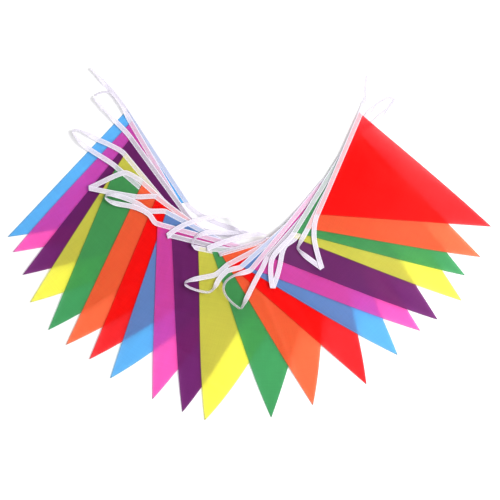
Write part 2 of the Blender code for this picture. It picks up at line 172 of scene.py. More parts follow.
# The loop from each pennant to the next one
LOOPS = (
    Loop((Turn(BEND, -0.0675, 0.0415, -25, -25, 0.3, 0.3, level=0),
          Turn(FOLD, -0.0025, 0.0181, -22, 184)), 0.3, 0.3),
    Loop((Turn(BEND, -0.2311, 0.2497, 124, 124, 0.3, 0.3, 0.0, 0.1, 0),
          Turn(BEND, -0.2508, 0.2743, 140, 160, 0.3, 0.1, 0.1, 0.1, 0),
          Turn(STAND, -0.2808, 0.2647, -115, -60, 0.35, 0.3, 0.1, 0.016),
          Turn(BEND, -0.2555, 0.2358, -48, -48, 0.3, 0.3, 0.0, 0.0)), 0.3, 0.3),
    Loop((Turn(FOLD, -0.0025, -0.0181, -15, 168),), 0.3, 0.3),
    Loop((Turn(BEND, -0.2681, 0.1861, 157, 157, 0.3, 0.3, level=0),
          Turn(STAND, -0.3184, 0.2053, 192, -74, 0.3, 0.3, 0.017, 0.014)), 0.2, 0.3),
    Loop((Turn(FOLD, 0.0224, -0.0430, -25, 160),)),
    Loop((Turn(BEND, -0.2220, 0.1283, 168, 168, 0.15, 0.15, level=0),
          Turn(FOLD, -0.2891, 0.1008, 203, -12, 0.35, 0.3),
          Turn(BEND, -0.2049, 0.0853, -8, -8, 0.3, 0.3)), 0.3, 0.15),
    Loop((Turn(FOLD, 0.0875, -0.0980, -40, 144),)),
    Loop((Turn(BEND, -0.1796, 0.0596, 169, 169, 0.3, 0.3, level=0),
          Turn(BEND, -0.2013, 0.0730, 152, 152, 0.3, 0.3, level=0),
          Turn(STAND, -0.2600, 0.0849, -110, -60, 0.2, 0.3, 0.002, 0.002),
          Turn(BEND, -0.2135, 0.0681, -12, -12, 0.3, 0.3),
          Turn(BEND, -0.1789, 0.0513, -46, -46, 0.3, 0.3)), 0.2, 0.3),
    Loop((Turn(FOLD, 0.1385, -0.0611, -20, 162),)),
    Loop((Turn(FOLD, -0.1476, 0.0144, 172, 42, 0.15, 0.35, level=2),
          Turn(BEND, -0.1073, 0.0383, 18, 18, 0.3, 0.3, level=2),
          Turn(BEND, -0.0401, 0.0513, -14, -14, 0.15, 0.15, level=2),
          Turn(STAND, -0.0151, 0.0217, -80, 190, 0.3, 0.3, 0.015, 0.001, 2),
          Turn(BEND, -0.0675, 0.0213, 183, 183, level=2),
          Turn(STAND, -0.1040, 0.0007, -105, -60, 0.35, 0.35, 0.01, 0.004))),
    Loop((Turn(FOLD, 0.2214, -0.0331, 5, 168),)),
    Loop((Turn(FOLD, -0.0755, -0.0080, 178, 24, level=2),
          Turn(STAND, 0.0300, 0.0126, -80, -100, 0.15, 0.15, 0.001, 0.1, 2),
          Turn(FOLD, -0.0538, -0.0184, 215, 16.5, 0.2, 0.2, 0.03))),
    Loop((Turn(FOLD, 0.2344, 0.0790, 28, 190),)),
    Loop((Turn(BEND, -0.0657, -0.0568, 193, 193, 0.3, 0.3, level=0),
          Turn(STAND, -0.1167, -0.0712, -90, -60, 0.12, 0.2, 0.002, 0.1),
          Turn(BEND, -0.0766, -0.0867, -5, -5, 0.35, 0.35, 0.1, 0.012),
          Turn(BEND, -0.0571, -0.0678, 64, 64, 0.4, 0.3),
          Turn(BEND, -0.0413, -0.0492, 42, 42, 0.3, 0.3),
          Turn(BEND, -0.0332, -0.0463, 22, 22, 0.3, 0.3))),
    Loop((Turn(FOLD, 0.2145, 0.1610, 43, 218),)),
    Loop((Turn(BEND, -0.0287, -0.0573, 207, 207, 0.3, 0.3, 0.0, 0.1, 0),
          Turn(BEND, -0.0466, -0.0804, -88, -88, 0.4, 0.3, 0.1, 0.1, 0),
          Turn(STAND, -0.0151, -0.1175, -28, 62, 0.25, 0.3, 0.1, 0.002),
          Turn(BEND, 0.0210, -0.0475, 59, 59, 0.3, 0.3)), 0.2, 0.3),
    Loop((Turn(FOLD, 0.2731, 0.1525, 0, 165),), 0.3, 0.5),
    Loop((Turn(BEND, 0.0671, -0.0009, 218, 218, 0.3, 0.3, level=0),
          Turn(BEND, 0.0571, -0.0253, 262, 262, 0.3, 0.3, level=0),
          Turn(FOLD, 0.0421, -0.0788, 247, 105, 0.35, 0.3),
          Turn(BEND, 0.0394, -0.0325, 80, 80, 0.3, 0.3)), 0.12, 0.35),
    Loop((Turn(BEND, 0.2153, 0.2358, 60, 60, 0.3, 0.3, level=0),
          Turn(STAND, 0.2626, 0.2627, -26, 240, 0.3, 0.3, 0.04, 0.02),
          Turn(BEND, 0.2270, 0.2204, 226, 226, 0.3, 0.3)), 0.2, 0.3),
    Loop((Turn(BEND, 0.0871, -0.0078, -80, -75, 0.12, 0.12, 0.0, 0.0, 0),
          Turn(FOLD, 0.1305, -0.0439, -38, 108, 0.3, 0.3),
          Turn(BEND, 0.1171, 0.0072, 98, 98, 0.3, 0.3)), 0.3, 0.3),
)
LEFT_TAIL = Turn(BEND, -0.2862, 0.3173, -48, -48, ease_out=0.3, stand_out=0.016)
RIGHT_TAIL = Turn(BEND, 0.2107, 0.3036, 84, 84, ease_in=0.35, stand_in=0.035)


def smooth(share: Array) -> Array:
    """Step from 0 to 1 with level ends: 3 t squared less 2 t cubed, t held from 0 to 1."""
    held = np.clip(share, 0.0, 1.0)
    return held * held * (3.0 - 2.0 * held)


def heading(degrees: float) -> Array:
    """Give the unit vector in the plane for a heading."""
    return np.array([cos(radians(degrees)), sin(radians(degrees))])


def left_of(vectors: Array) -> Array:
    """Turn plane vectors a quarter to the left."""
    return np.stack([-vectors[..., 1], vectors[..., 0]], axis=-1)


def unit(vectors: Array) -> Array:
    """Scale vectors to length one."""
    return vectors / np.linalg.norm(vectors, axis=-1, keepdims=True)


def add_up(steps: Array) -> Array:
    """Add steps up, from zero before the first."""
    return np.concatenate([[0.0], np.cumsum(steps)])


def read_at(spots: Array, run: Array, values: Array) -> Array:
    """Read the columns of values, which are known at run, at other distances."""
    return np.column_stack([np.interp(spots, run, column) for column in values.T])


def distance_to_line(points: Array, line: Array) -> Array:
    """Measure from points to an open line of two or more points.

    Args:
        points: Plane points, in an array of any shape that ends in 2.
        line: The line's points.

    Returns:
        The shortest distance from each point to any of the line's stretches.
    """
    nearest = np.full(points.shape[:-1], np.inf)
    for start, end in zip(line[:-1], line[1:]):
        run = end - start
        share = np.clip((points - start) @ run / max(run @ run, TINY), 0.0, 1.0)
        away = np.linalg.norm(points - start - share[..., None] * run, axis=-1)
        nearest = np.minimum(nearest, away)
    return nearest


@dataclass(frozen=True)
class Cut:
    """The cut of a pennant, and where it puts its corners."""

    width: float = 0.200
    height: float = 0.305

    def corners(self, lay: Lay) -> tuple[Array, Array, Array]:
        """Place the pennant's corners in the plane.

        Args:
            lay: How the pennant lies.

        Returns:
            The left and right top corners and the tip.
        """
        tip = np.array([lay.tip_x, lay.tip_y])
        middle = tip + (self.height + lay.stretch) * heading(lay.lean)
        half = 0.5 * self.width * heading(lay.lean - 90.0 + lay.skew)
        return middle - half, middle + half, tip

    def distance(self, points: Array, lay: Lay) -> Array:
        """Measure from points to the triangle, zero inside it.

        Args:
            points: Plane points.
            lay: How the pennant lies.

        Returns:
            The distance of each point.
        """
        left, right, tip = self.corners(lay)
        corners = np.array([left, tip, right, left])
        sides = zip(corners[:-1], corners[1:])
        inside = np.all([(points - a) @ left_of(b - a) >= 0.0 for a, b in sides], axis=0)
        return np.where(inside, 0.0, distance_to_line(points, corners))

    @property
    def area(self) -> float:
        """Half of width times height."""
        return 0.5 * self.width * self.height

    @property
    def altitude(self) -> float:
        """The distance from a top corner to the far sloping edge."""
        return 2.0 * self.area / hypot(0.5 * self.width, self.height)


@dataclass
class Heap:
    """The height on which each layer lies, worked out from all that lies below it."""

    layer: float = 0.0016
    cell: float = 0.025
    cells_x: int = 20
    cells_y: int = 16
    reach: float = 0.036
    ease: float = 0.080
    nodes: Array = field(init=False)
    levels: list[Array] = field(init=False)

    def __post_init__(self) -> None:
        """Start with the bare table."""
        x = self.cell * np.arange(-self.cells_x, self.cells_x + 1)
        y = self.cell * np.arange(-self.cells_y, self.cells_y + 1)
        self.nodes = np.stack(np.meshgrid(x, y, indexing="ij"), axis=-1)
        self.levels = [np.zeros(self.nodes.shape[:2])]

    def add(self, distance: Array) -> None:
        """Raise the next level by one layer where distance is small, easing down around it."""
        cover = 1.0 - smooth((distance - self.reach) / self.ease)
        self.levels.append(self.levels[-1] + self.layer * cover)

    def height(self, points: Array, layer: Array | float) -> Array:
        """Find the height of points on a layer.

        The height is the uniform cubic B-spline of the nodes: the sum over four by four nodes
        around a point of their heights times the two basis weights. Between whole layers it is
        linear.

        Args:
            points: Plane points.
            layer: A layer, or one for each point.

        Returns:
            The heights.
        """
        layer = np.broadcast_to(layer, points.shape[:-1])
        low = np.floor(layer).astype(int)
        share = layer - low
        levels = np.stack([*self.levels, self.levels[-1]])
        place = points / self.cell + np.array([self.cells_x, self.cells_y])
        whole = np.floor(place).astype(int)
        t = place - whole
        weights = np.stack([(1 - t) ** 3, 3 * t ** 3 - 6 * t ** 2 + 4,
                            -3 * t ** 3 + 3 * t ** 2 + 3 * t + 1, t ** 3], axis=-1) / 6.0
        column = whole[..., 0, None, None] + np.arange(-1, 3)[:, None]
        row = whole[..., 1, None, None] + np.arange(-1, 3)
        basis = weights[..., 0, :, None] * weights[..., 1, None, :]
        first = (levels[low[..., None, None], column, row] * basis).sum(axis=(-1, -2))
        second = (levels[low[..., None, None] + 1, column, row] * basis).sum(axis=(-1, -2))
        return (1.0 - share) * first + share * second


@dataclass(frozen=True)
class Steps:
    """How finely the tape's path is divided.

    Along a pennant a cross line follows after seam at most, and elsewhere after run, turn or
    roll. curve and crease are the numbers of points on a leg and round a fold.
    """

    seam: float = 0.0050
    run: float = 0.0040
    turn: float = 7.0
    roll: float = 8.0
    curve: int = 193
    crease: int = 7


@dataclass
class TapePath:
    """The cross lines of the tape, from its left free end to its right one.

    Each row of a block holds the centre x and y, the half width x and y from the folded edge to
    the open one, the rise on edge from 0 to 1, the layer, and how full of cloth the fold is. The
    runs say over what length it fills, twists, comes down from upright and climbs. side is -1
    while the open edge is to the right of the way, and layer is the one that the path is on.
    """

    width: float = 0.009
    fill_run: float = 0.010
    twist_run: float = 0.030
    shortest_twist: float = 0.0001
    upright_run: float = 0.008
    climb_run: float = 0.030
    crease_reach: float = 0.0008
    flat_enough: float = 0.35
    steps: Steps = field(default_factory=Steps)
    cut: Cut = field(default_factory=Cut)
    side: float = -1.0
    layer: float = 0.0
    blocks: list[Array] = field(default_factory=list)

    def add(self, centre: Array, across: Array, rise: Array | float, layer: Array | float,
            full: Array | float) -> None:
        """Append a block of cross lines.

        Args:
            centre: Their centres.
            across: Their half widths, or one for all, as with the next three.
            rise: How far they rise on edge.
            layer: Their layers.
            full: How full of cloth the fold is.
        """
        count = len(centre)
        columns = [np.broadcast_to(value, count) for value in (rise, layer, full)]
        self.blocks.append(np.column_stack([centre, np.broadcast_to(across, (count, 2)), *columns]))

    def seam(self, start: Array, end: Array) -> None:
        """Run straight along a pennant's top edge, with its cloth in the fold.

        Args:
            start: Where it starts.
            end: Where it ends.
        """
        length = np.linalg.norm(end - start)
        share = np.linspace(0.0, 1.0, ceil(length / self.steps.seam) + 1)[1:]
        across = 0.5 * self.width * self.side * left_of(unit(end - start))
        ends = np.minimum(share, 1.0 - share) * length
        self.add(start + share[:, None] * (end - start), across, 0.0, self.layer,
                 smooth(ends / self.fill_run))

    def leg(self, start: Array, start_way: Array, end: Array, end_way: Array,
            eases: tuple[float, float], stands: tuple[Stand, Stand] = (None, None),
            old_layer: float | None = None) -> None:
        """Run along a cubic Bezier curve that holds a heading at either end.

        The tape is rolled on edge at an end that stands, and eases flat over twist_run. Cross
        lines follow wherever it has gone, turned or rolled enough.

        Args:
            start: Where the leg starts.
            start_way: Its heading there.
            end: Where it ends.
            end_way: Its heading there.
            eases: How far each heading is held, as shares of the distance.
            stands: The length on edge and the roll at either end, or None.
            old_layer: The layer from which it climbs.
        """
        reach = np.linalg.norm(end - start)
        second, third = start + eases[0] * reach * start_way, end - eases[1] * reach * end_way
        t = np.linspace(0.0, 1.0, self.steps.curve)[:, None]
        curve = ((1 - t) ** 3 * start + 3 * t * (1 - t) ** 2 * second
                 + 3 * t * t * (1 - t) * third + t ** 3 * end)
        runs = np.diff(curve, axis=0)
        lengths = np.linalg.norm(runs, axis=1)
        travelled = add_up(lengths)
        angles = np.unwrap(np.arctan2(runs[:, 1], runs[:, 0]))
        roll = np.zeros(len(travelled))
        for distance, stand in ((travelled, stands[0]), (travelled[-1] - travelled, stands[1])):
            if stand is not None:
                length, steepest = stand
                run = max(self.shortest_twist, min(self.twist_run, travelled[-1] - length))
                roll = np.maximum(roll, ON_EDGE * (1.0 - smooth((distance - length) / run)))
                roll = np.maximum(roll, steepest * (1.0 - smooth(distance / self.upright_run)))
        effort = add_up(lengths / self.steps.run
                        + np.abs(np.diff(angles, prepend=angles[0])) / radians(self.steps.turn)
                        + np.abs(np.diff(roll)) / self.steps.roll)
        places = np.linspace(0.0, effort[-1], ceil(effort[-1]) + 1)[1:]
        ways = np.interp(places, 0.5 * (effort[1:] + effort[:-1]), angles)
        roll = np.radians(np.interp(places, effort, roll))
        layers: Array | float = self.layer
        if old_layer is not None:
            climbed = smooth(np.interp(places, effort, travelled) / self.climb_run)
            layers = old_layer + (self.layer - old_layer) * climbed
        across = np.column_stack([-np.sin(ways), np.cos(ways)]) * np.cos(roll)[:, None]
        self.add(read_at(places, effort, curve), 0.5 * self.width * self.side * across,
                 np.sin(roll), layers, 0.0)

    def crease(self, turn: Turn, layer: float) -> None:
        """Fold the tape flat onto itself, round a half circle between its two layers.

        Args:
            turn: The fold.
            layer: The layer on which the tape goes on.
        """
        arrive = heading(turn.arrive)
        out = unit(arrive - heading(turn.leave))
        across = 0.5 * self.width * self.side * left_of(out) / (arrive @ out)
        around = np.linspace(-0.5 * pi, 0.5 * pi, self.steps.crease)
        spread = self.crease_reach * np.cos(around)[:, None] * out
        share = 0.5 + 0.5 * np.sin(around)
        self.blocks[-1] = self.blocks[-1][:-1]
        self.add(np.array([turn.x, turn.y]) + spread, across, 0.0,
                 self.layer + (layer - self.layer) * share, 0.0)

    def loop(self, loop: Loop, start: Array, start_way: Array, end: Array, end_way: Array) -> None:
        """Run from a pennant's corner through the loop's turns to the next pennant's corner.

        Args:
            loop: The loop.
            start: The corner where it starts.
            start_way: The heading there.
            end: The corner where it ends.
            end_way: The heading there.
        """
        first, ease = self.layer, loop.ease_start
        stand: Stand = None
        old: float | None = None
        for turn in loop.turns:
            place = np.array([turn.x, turn.y])
            self.leg(start, start_way, place, heading(turn.arrive), (ease, turn.ease_in),
                     (stand, turn.on_edge(turn.stand_in)), old)
            layer = first + turn.level
            if turn.way is Way.FOLD:
                self.crease(turn, layer)
            if turn.way is not Way.BEND:
                self.side = -self.side
            old = self.layer if turn.way is Way.STAND else None
            stand, self.layer = turn.on_edge(turn.stand_out), layer
            start, start_way, ease = place, heading(turn.leave), turn.ease_out
        self.leg(start, start_way, end, end_way, (ease, loop.ease_end), (stand, None), old)

    def follow(self) -> Array:
        """Follow the tape along every pennant and loop.

        Returns:
            All cross lines, one a row.
        """
        seams = []
        for index, lay in enumerate(LAYS):
            left, right, _ = self.cut.corners(lay)
            along = unit(right - left)
            inset = -0.5 * self.width * left_of(along)
            ends = (left + inset, right + inset, along)
            seams.append(ends if index % 2 == 0 else (ends[1], ends[0], -along))
        start, way = np.array([LEFT_TAIL.x, LEFT_TAIL.y]), heading(LEFT_TAIL.leave)
        lean = radians(ON_EDGE)
        across = 0.5 * self.width * self.side * cos(lean) * left_of(way)
        self.add(start[None], across, sin(lean), 0.0, 0.0)
        self.leg(start, way, seams[0][0], seams[0][2], (LEFT_TAIL.ease_out, LEFT_TAIL.ease_in),
                 (LEFT_TAIL.on_edge(LEFT_TAIL.stand_out), None))
        for index, (begin, end, along) in enumerate(seams):
            self.seam(begin, end)
            if index < len(LOOPS):
                self.loop(LOOPS[index], end, along, seams[index + 1][0], seams[index + 1][2])
        end, along = seams[-1][1:]
        self.leg(end, along, np.array([RIGHT_TAIL.x, RIGHT_TAIL.y]), heading(RIGHT_TAIL.arrive),
                 (RIGHT_TAIL.ease_out, RIGHT_TAIL.ease_in),
                 (None, RIGHT_TAIL.on_edge(RIGHT_TAIL.stand_in)))
        return np.concatenate(self.blocks)

    def flat_runs(self, rows: Array, layer: int) -> list[Array]:
        """Pick the stretches of tape that lie flat in a layer.

        Args:
            rows: The cross lines.
            layer: The layer.

        Returns:
            The stretches, as lines in the plane.
        """
        flat = (np.round(rows[:, LAYER]) == layer) & (rows[:, RISE] < self.flat_enough)
        ends = np.flatnonzero(np.diff(np.concatenate([[False], flat, [False]]).astype(int)))
        return [rows[a:b, :2] for a, b in zip(ends[::2], ends[1::2]) if b - a > 1]


def pile_up(path: TapePath, rows: Array) -> Heap:
    """Lay every pennant and its tape on the heap, in order.

    Args:
        path: The tape's path.
        rows: Its cross lines.

    Returns:
        The heap, with a level for each pennant.
    """
    heap = Heap()
    for layer, lay in enumerate(LAYS):
        distance = path.cut.distance(heap.nodes, lay)
        for line in path.flat_runs(rows, layer):
            distance = np.minimum(distance, distance_to_line(heap.nodes, line) - 0.5 * path.width)
        heap.add(distance)
    return heap


def new_piece(name: str, points: Array, faces: list[list[int]], uv: Array,
              values: dict[str, Array]) -> Piece:
    """Make a smooth-shaded mesh piece with its own coordinates.

    Args:
        name: The piece's name.
        points: Its vertices.
        faces: Its faces, pointing outwards.
        uv: The cloth coordinate of each vertex.
        values: Named numbers for each vertex.

    Returns:
        The piece, linked to the scene.
    """
    mesh = bpy.data.meshes.new(name)
    mesh.from_pydata(points, [], faces)
    corners = np.empty(len(mesh.loops), dtype=np.int32)
    mesh.loops.foreach_get("vertex_index", corners)
    layer = mesh.uv_layers.new(name="cloth")
    layer.data.foreach_set("uv", uv[corners].astype(np.float32).ravel())
    for label, numbers in values.items():
        attribute = mesh.attributes.new(label, "FLOAT", "POINT")
        attribute.data.foreach_set("value", np.asarray(numbers, dtype=np.float32))
    mesh.shade_smooth()
    mesh.set_sharp_from_angle(angle=SHARP)
    piece = bpy.data.objects.new(name, mesh)
    bpy.context.scene.collection.objects.link(piece)
    return piece


class Nodes:
    """A short way to build and link shader nodes in one tree."""

    def __init__(self, tree: Tree) -> None:
        """Keep the tree."""
        self.tree = tree

    def add(self, kind: str, *sources: object, named: dict[str, object] | None = None,
            **settings: object) -> bpy.types.Node:
        """Add a node.

        Args:
            kind: The node's type, without its ShaderNode prefix.
            *sources: What each input takes in order: a socket, a value, or None to leave it.
            named: What further inputs take, by their names.
            **settings: The node's own properties.

        Returns:
            The node.
        """
        node = self.tree.nodes.new(kind if kind.startswith("Node") else "ShaderNode" + kind)
        for name, value in settings.items():
            setattr(node, name, value)
        for socket, source in zip(node.inputs, sources):
            self.put(socket, source)
        for name, source in (named or {}).items():
            self.put(node.inputs[name], source)
        return node

    def put(self, socket: Socket, source: object) -> None:
        """Link a socket to an input, or set the input's value.

        Args:
            socket: The input.
            source: A socket, a value, or None to leave it.
        """
        if isinstance(source, Socket):
            self.tree.links.new(source, socket)
        elif source is not None:
            socket.default_value = source

    def math(self, operation: str, *sources: object) -> Socket:
        """Add a Math node and give its result."""
        return self.add("Math", *sources, operation=operation).outputs[0]

    def scaled(self, colour: Colour, shade: Socket) -> Socket:
        """Give a colour times a varying shade."""
        return self.add("VectorMath", colour, named={"Scale": shade}, operation="SCALE").outputs[0]

    def noise(self, place: Socket, scale: float, detail: float) -> Socket:
        """Give a noise around zero.

        Args:
            place: Where it is read.
            scale: How fine it is.
            detail: How many finer noises are added to it.

        Returns:
            The noise.
        """
        named = {"Vector": place, "Scale": scale, "Detail": detail}
        texture = self.add("TexNoise", named=named, noise_dimensions="3D")
        return self.math("SUBTRACT", texture.outputs[0], 0.5)

    def eased(self, attribute: str, *ends: float) -> Socket:
        """Ease from one value to another along an attribute, taken without its sign.

        Args:
            attribute: The attribute's name.
            *ends: Where on it the easing starts and ends, and the values there.

        Returns:
            The value.
        """
        number = self.add("Attribute", attribute_name=attribute).outputs["Fac"]
        number = self.math("ABSOLUTE", number)
        return self.add("MapRange", number, *ends, interpolation_type="SMOOTHSTEP").outputs[0]

    def bump(self, strength: float, depth: float, height: Socket) -> Socket:
        """Give the normal of a surface with a height."""
        named = {"Strength": strength, "Distance": depth, "Height": height}
        return self.add("Bump", named=named).outputs[0]

    def woven(self, weave: Tree, *values: float) -> bpy.types.bpy_prop_collection:
        """Place the woven cloth's group on the piece's own coordinates and give its outputs."""
        cloth = self.add("UVMap", uv_map="cloth").outputs[0]
        return self.add("Group", cloth, *values, node_tree=weave).outputs


@dataclass(frozen=True)
class Weave:
    """The woven cloth that the satin and the tape share: threads, slubs and uneven dye.

    slub_scale and slub_pull scale the slubs' noise across and along the threads, slub_apart keeps
    the slubs of the two ways unlike, and patch_scale scales the uneven dye.
    """

    slub_scale: float = 0.25
    slub_pull: float = 6.0
    slub_apart: float = 3.7
    patch_scale: float = 4.0
    detail: float = 2.0

    def group(self) -> Tree:
        """Build the cloth's group.

        Height is the product of a sine across and a sine along the cloth. Shade is one plus a
        noise drawn out along the threads and a soft noise over the whole cloth, each with its
        own weight.

        Returns:
            The group, with a Vector and its numbers in, and Height and Shade out.
        """
        group = bpy.data.node_groups.new("woven_cloth", "ShaderNodeTree")
        group.interface.new_socket(name="Vector", in_out="INPUT", socket_type="NodeSocketVector")
        for way, names in (("INPUT", ("Threads Across", "Threads Along", "Slub", "Uneven")),
                           ("OUTPUT", ("Height", "Shade"))):
            for name in names:
                group.interface.new_socket(name=name, in_out=way, socket_type="NodeSocketFloat")
        n = Nodes(group)
        given = n.add("NodeGroupInput").outputs
        parts = n.add("SeparateXYZ", given["Vector"]).outputs
        waves, slubs = [], []
        for axis, threads in enumerate(("Threads Across", "Threads Along")):
            turns = n.math("MULTIPLY", parts[axis], given[threads])
            waves.append(n.math("SINE", n.math("MULTIPLY", turns, 2.0 * pi)))
            fine = n.math("MULTIPLY", turns, self.slub_scale)
            drawn = n.math("MULTIPLY", parts[1 - axis], self.slub_pull)
            place = n.add("CombineXYZ", fine, drawn, self.slub_apart * axis).outputs[0]
            slubs.append(n.noise(place, 1.0, self.detail))
        patches = n.noise(given["Vector"], self.patch_scale, self.detail)
        dye = n.math("MULTIPLY", patches, given["Uneven"])
        streaks = n.math("MULTIPLY", n.math("ADD", *slubs), given["Slub"])
        shade = n.math("ADD", n.math("ADD", dye, streaks), 1.0)
        n.add("NodeGroupOutput", n.math("MULTIPLY", *waves), shade)
        return group


def new_material(name: str, colour: Colour) -> tuple[Material, Nodes]:
    """Start a node material with nothing in its tree.

    Args:
        name: Its name.
        colour: Its plain colour, where no nodes are shown.

    Returns:
        The material and its nodes.
    """
    material = bpy.data.materials.new(name)
    material.use_nodes = True
    material.node_tree.nodes.clear()
    material.diffuse_color = (*colour, 1.0)
    return material, Nodes(material.node_tree)


def one_face(back: Colour, through: Colour) -> tuple[Colour, Colour]:
    """Share a cloth's light out to the two faces of its closed shell.

    Light passes both faces and bounces between them, so a face that sends back r and passes t
    makes a cloth that passes t t / (1 - r r) and sends back r plus r times that.

    Args:
        back: The share of light that the whole cloth sends back, by colour.
        through: The share that it passes.

    Returns:
        The two shares of one face.
    """
    face_back = tuple(b / (1.0 + t) for b, t in zip(back, through))
    face_through = tuple(sqrt(t * (1.0 - b * b)) for b, t in zip(face_back, through))
    return face_back, face_through


@dataclass(frozen=True)
class SatinFinish:
    """Thin dyed satin: what it sends back and lets through, its weave, gloss and painted edge
    shade.
    """

    dye: Dye
    back: Colour
    through: Colour
    roughness: float = 0.42
    specular: float = 0.06
    threads: tuple[float, float] = (520.0, 700.0)
    slub: float = 0.10
    uneven: float = 0.07
    bump: float = 0.12
    thread_height: float = 0.00005
    edge_width: float = 0.0012
    painted_edge_shade: float = 0.74

    def material(self, weave: Tree) -> Material:
        """Build the material: a reflecting and a translucent shader, added.

        Args:
            weave: The woven cloth's group.

        Returns:
            The material.
        """
        back, through = one_face(self.back, self.through)
        material, n = new_material(f"{self.dye.value}_satin", self.back)
        woven = n.woven(weave, *self.threads, self.slub, self.uneven)
        # painted shade: the cloth darkens within edge_width of its cut edges, a painted shadow line
        # along them
        rim = n.eased("cut_edge", 0.0, self.edge_width, self.painted_edge_shade, 1.0)
        shade = n.math("MULTIPLY", woven["Shade"], rim)
        normal = n.bump(self.bump, self.thread_height, woven["Height"])
        shiny = n.add("BsdfPrincipled", n.scaled(back, shade),
                      named={"Roughness": self.roughness, "Specular IOR Level": self.specular,
                             "Normal": normal})
        glow = n.add("BsdfTranslucent", n.scaled(through, shade), normal)
        both = n.add("AddShader", shiny.outputs[0], glow.outputs[0])
        n.add("OutputMaterial", both.outputs[0])
        return material


@dataclass(frozen=True)
class TapeFinish:
    """Sheer white tape: open in its middle, dense at its selvedge and at its fold."""

    back: Colour = (0.56, 0.535, 0.585)
    through: Colour = (0.32, 0.315, 0.335)
    cover: float = 0.42
    edge_cover: float = 0.97
    edge_from: float = 0.60
    roughness: float = 0.55
    threads: tuple[float, float] = (26.0, 2800.0)
    slub: float = 0.10
    bump: float = 0.15
    thread_height: float = 0.00006

    def material(self, weave: Tree) -> Material:
        """Build the material: white cloth mixed with clear, most of it in the middle.

        Args:
            weave: The woven cloth's group.

        Returns:
            The material.
        """
        material, n = new_material("white_tape", self.back)
        woven = n.woven(weave, *self.threads, self.slub, 0.0)
        cover = n.eased("across", self.edge_from, 1.0, self.cover, self.edge_cover)
        normal = n.bump(self.bump, self.thread_height, woven["Height"])
        shiny = n.add("BsdfPrincipled", n.scaled(self.back, woven["Shade"]),
                      named={"Roughness": self.roughness, "Normal": normal})
        glow = n.add("BsdfTranslucent", n.scaled(self.through, woven["Shade"]))
        both = n.add("AddShader", shiny.outputs[0], glow.outputs[0])
        clear = n.add("BsdfTransparent")
        mix = n.add("MixShader", cover, clear.outputs[0], both.outputs[0])
        n.add("OutputMaterial", mix.outputs[0])
        return material


@dataclass(frozen=True)
class ThreadFinish:
    """White sewing thread, lightly twisted: a fine wave gives it its bump and painted groove shade.
    """

    colour: Colour = (0.86, 0.85, 0.87)
    roughness: float = 0.5
    twist: float = 2400.0
    bump: float = 0.2
    twist_depth: float = 0.00003
    contrast: float = 0.08
    darkest: float = 0.94

    def material(self) -> Material:
        """Build the material.

        Returns:
            The material.
        """
        material, n = new_material("white_thread", self.colour)
        place = n.add("TexCoord").outputs["Object"]
        wave = n.add("TexWave", place, self.twist, bands_direction="DIAGONAL").outputs["Fac"]
        normal = n.bump(self.bump, self.twist_depth, wave)
        # painted shade: the thread darkens to darkest in the grooves of the twist's wave
        shade = n.math("MULTIPLY_ADD", wave, self.contrast, self.darkest)
        shader = n.add("BsdfPrincipled", n.scaled(self.colour, shade),
                       named={"Roughness": self.roughness, "Normal": normal})
        n.add("OutputMaterial", shader.outputs[0])
        return material


SATINS = (
    SatinFinish(Dye.BLUE, (0.060, 0.148, 0.350), (0.16, 0.435, 0.55)),
    SatinFinish(Dye.PINK, (0.388, 0.026, 0.147), (0.58, 0.235, 0.49)),
    SatinFinish(Dye.PURPLE, (0.070, 0.008, 0.069), (0.22, 0.066, 0.21)),
    SatinFinish(Dye.YELLOW, (0.368, 0.378, 0.043), (0.59, 0.555, 0.145)),
    SatinFinish(Dye.GREEN, (0.034, 0.160, 0.056), (0.095, 0.31, 0.17)),
    SatinFinish(Dye.ORANGE, (0.600, 0.057, 0.020), (0.38, 0.243, 0.15)),
    SatinFinish(Dye.RED, (0.550, 0.0005, 0.001), (0.38, 0.127, 0.14), specular=0.03),
)


@dataclass(frozen=True)
class Crease:
    """A soft ridge, or a trough where its height is negative, on the flat cloth.

    Its ends are shares of the width, from the left edge at the top, and of the height, from the
    top. It is spread across by spread, as a bell curve.
    """

    start: tuple[float, float]
    end: tuple[float, float]
    height: float
    spread: float


